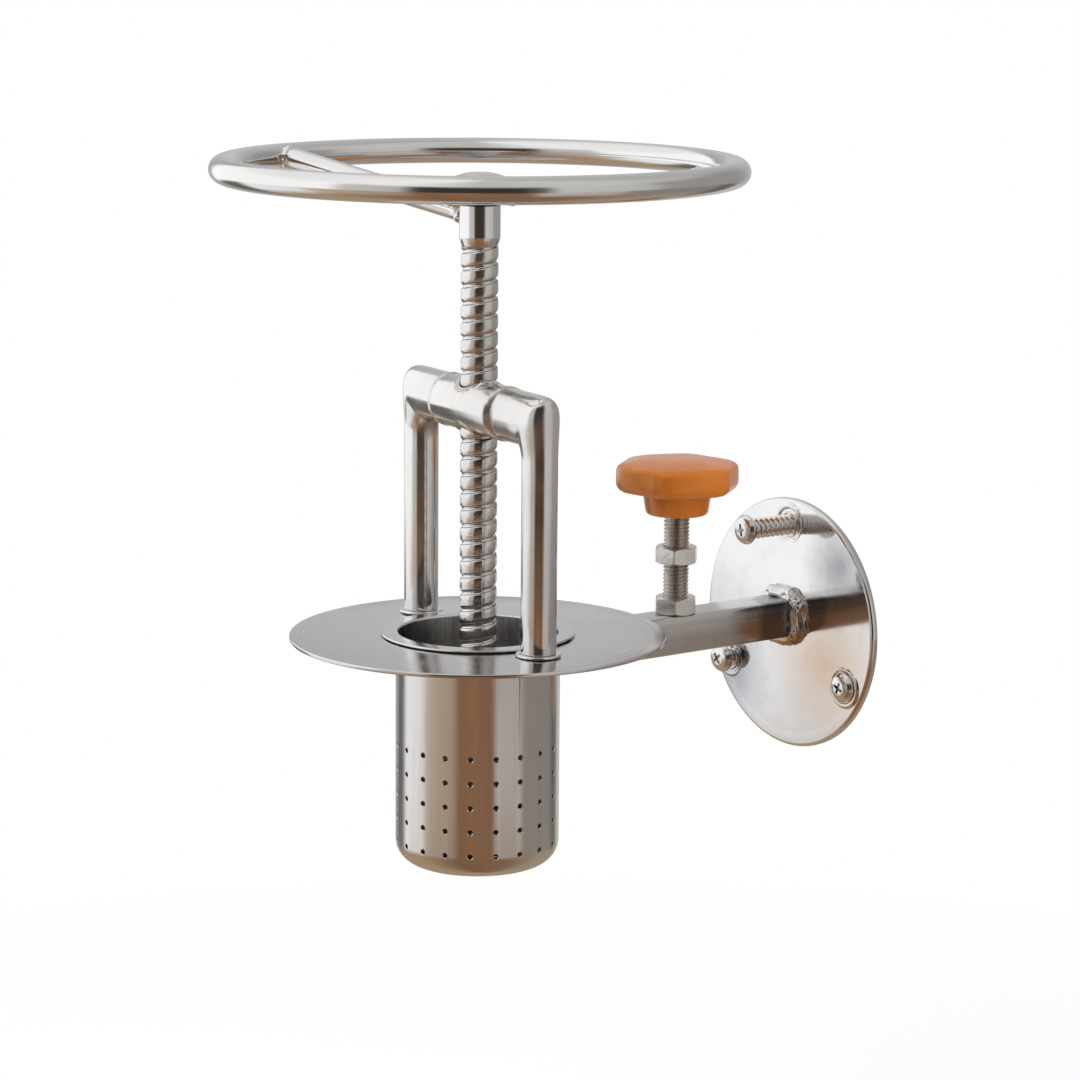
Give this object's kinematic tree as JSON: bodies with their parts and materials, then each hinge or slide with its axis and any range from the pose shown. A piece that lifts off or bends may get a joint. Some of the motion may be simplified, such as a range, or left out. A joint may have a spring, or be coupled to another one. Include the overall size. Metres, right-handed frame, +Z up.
{
  "type": "sevai maker",
  "caption": "Wall-mounted screw press for noodle dough: a handwheel drives a piston down a perforated cup, held in a plate on a sliding arm that a knob clamps.",
  "frame": {"origin": "centre of the back of the round wall flange, in the plane of the wall", "axes": "+Y into the wall, +Z up along the press screw, +X to the right of someone who faces the wall"},
  "size_m": [0.197, 0.2614, 0.2648],
  "materials": {
    "polished_steel": "polished",
    "satin_steel": "satin",
    "brushed_steel": "brushed",
    "tinted_weld": "heat tinted",
    "fastener_steel": "semi-gloss",
    "bronze": "satin",
    "orange_plastic": "gloss"
  },
  "bodies": {
    "wall_bracket": {"wall_flange": "polished_steel", "wall_screw_top": "fastener_steel", "wall_screw_left": "fastener_steel", "wall_screw_right": "fastener_steel", "flange_weld": "tinted_weld", "arm_tube": "brushed_steel", "welded_nut": "fastener_steel"},
    "press_head": {"support_plate": "satin_steel", "arm_bar": "brushed_steel", "bar_weld_left": "tinted_weld", "bar_weld_right": "tinted_weld", "cup": "polished_steel", "nut_sleeve": "polished_steel", "thread_bush": "fastener_steel", "left_leg": "polished_steel", "left_bead": "polished_steel", "left_washer": "polished_steel", "left_foot_nut": "fastener_steel", "right_leg": "polished_steel", "right_bead": "polished_steel", "right_washer": "polished_steel", "right_foot_nut": "fastener_steel"},
    "piston_carrier": {"piston": "satin_steel", "thrust_washer": "bronze"},
    "handwheel": {"spindle": "polished_steel", "piston_nut": "fastener_steel", "hub": "polished_steel", "hub_cap": "polished_steel", "spoke_left": "polished_steel", "spoke_rear": "polished_steel", "spoke_front": "polished_steel", "wheel_rim": "polished_steel"},
    "clamp_foot": {"clamp_pad": "bronze"},
    "clamp_screw": {"clamp_rod": "fastener_steel", "lock_nut": "fastener_steel", "knob": "orange_plastic"}
  },
  "joints": [
    {"name": "head_slide", "type": "slide", "parent": "wall_bracket", "child": "press_head", "axis": [0, -1, 0], "range_m": [0, 0.035]},
    {"name": "piston_feed", "type": "slide", "parent": "press_head", "child": "piston_carrier", "axis": [0, 0, 1], "range_m": [-0.042, 0.095]},
    {"name": "spindle_turn", "type": "hinge", "parent": "piston_carrier", "child": "handwheel", "pos_m": [0, -0.1552, 0], "axis": [0, 0, 1], "range_deg": [-2381, 5385]},
    {"name": "clamp_feed", "type": "slide", "parent": "wall_bracket", "child": "clamp_foot", "axis": [0, 0, 1], "range_m": [0, 0.006]},
    {"name": "clamp_turn", "type": "hinge", "parent": "clamp_foot", "child": "clamp_screw", "pos_m": [0, -0.0608, 0], "axis": [0, 0, 1], "range_deg": [0, 1439]}
  ],
  "couplings": [
    {"joint": "piston_feed", "follows": "spindle_turn", "m_per_rad": 0.0010106},
    {"joint": "clamp_feed", "follows": "clamp_turn", "m_per_rad": 0.00023873}
  ]
}
